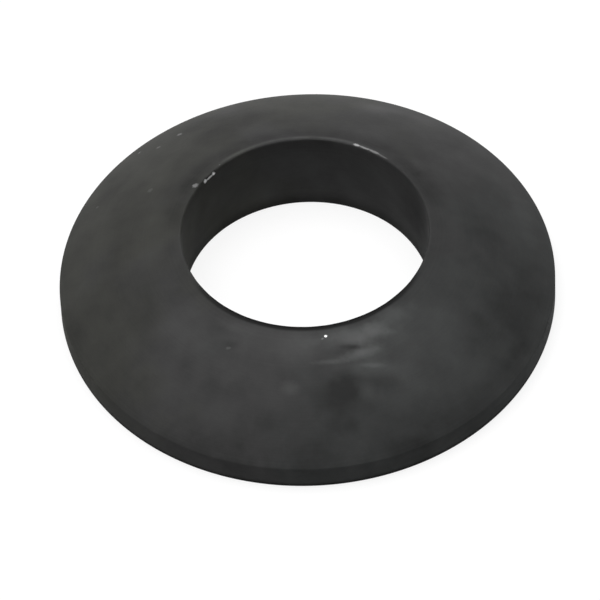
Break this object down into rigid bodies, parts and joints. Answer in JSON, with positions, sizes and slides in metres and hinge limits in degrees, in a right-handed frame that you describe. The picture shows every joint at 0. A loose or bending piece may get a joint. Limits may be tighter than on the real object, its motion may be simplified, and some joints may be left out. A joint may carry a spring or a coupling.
{
  "type": "injector washer",
  "caption": "Thick domed steel washer with a flat underside, a round bolt hole and a short straight rim, which lets an injector clamp tilt under its bolt.",
  "frame": {"origin": "centre of the flat face, on the bore's axis", "axes": "+Z along the bore, from the flat face towards the domed side; +X and +Y lie in the flat face and are alike, because the washer is round"},
  "size_m": [0.021, 0.021, 0.0041],
  "materials": {
    "blackened_steel": "matt black oxide on turned steel, with a few small nicks down to bare metal"
  },
  "bodies": {
    "root": {"injector_washer": "blackened_steel"}
  },
  "joints": []
}
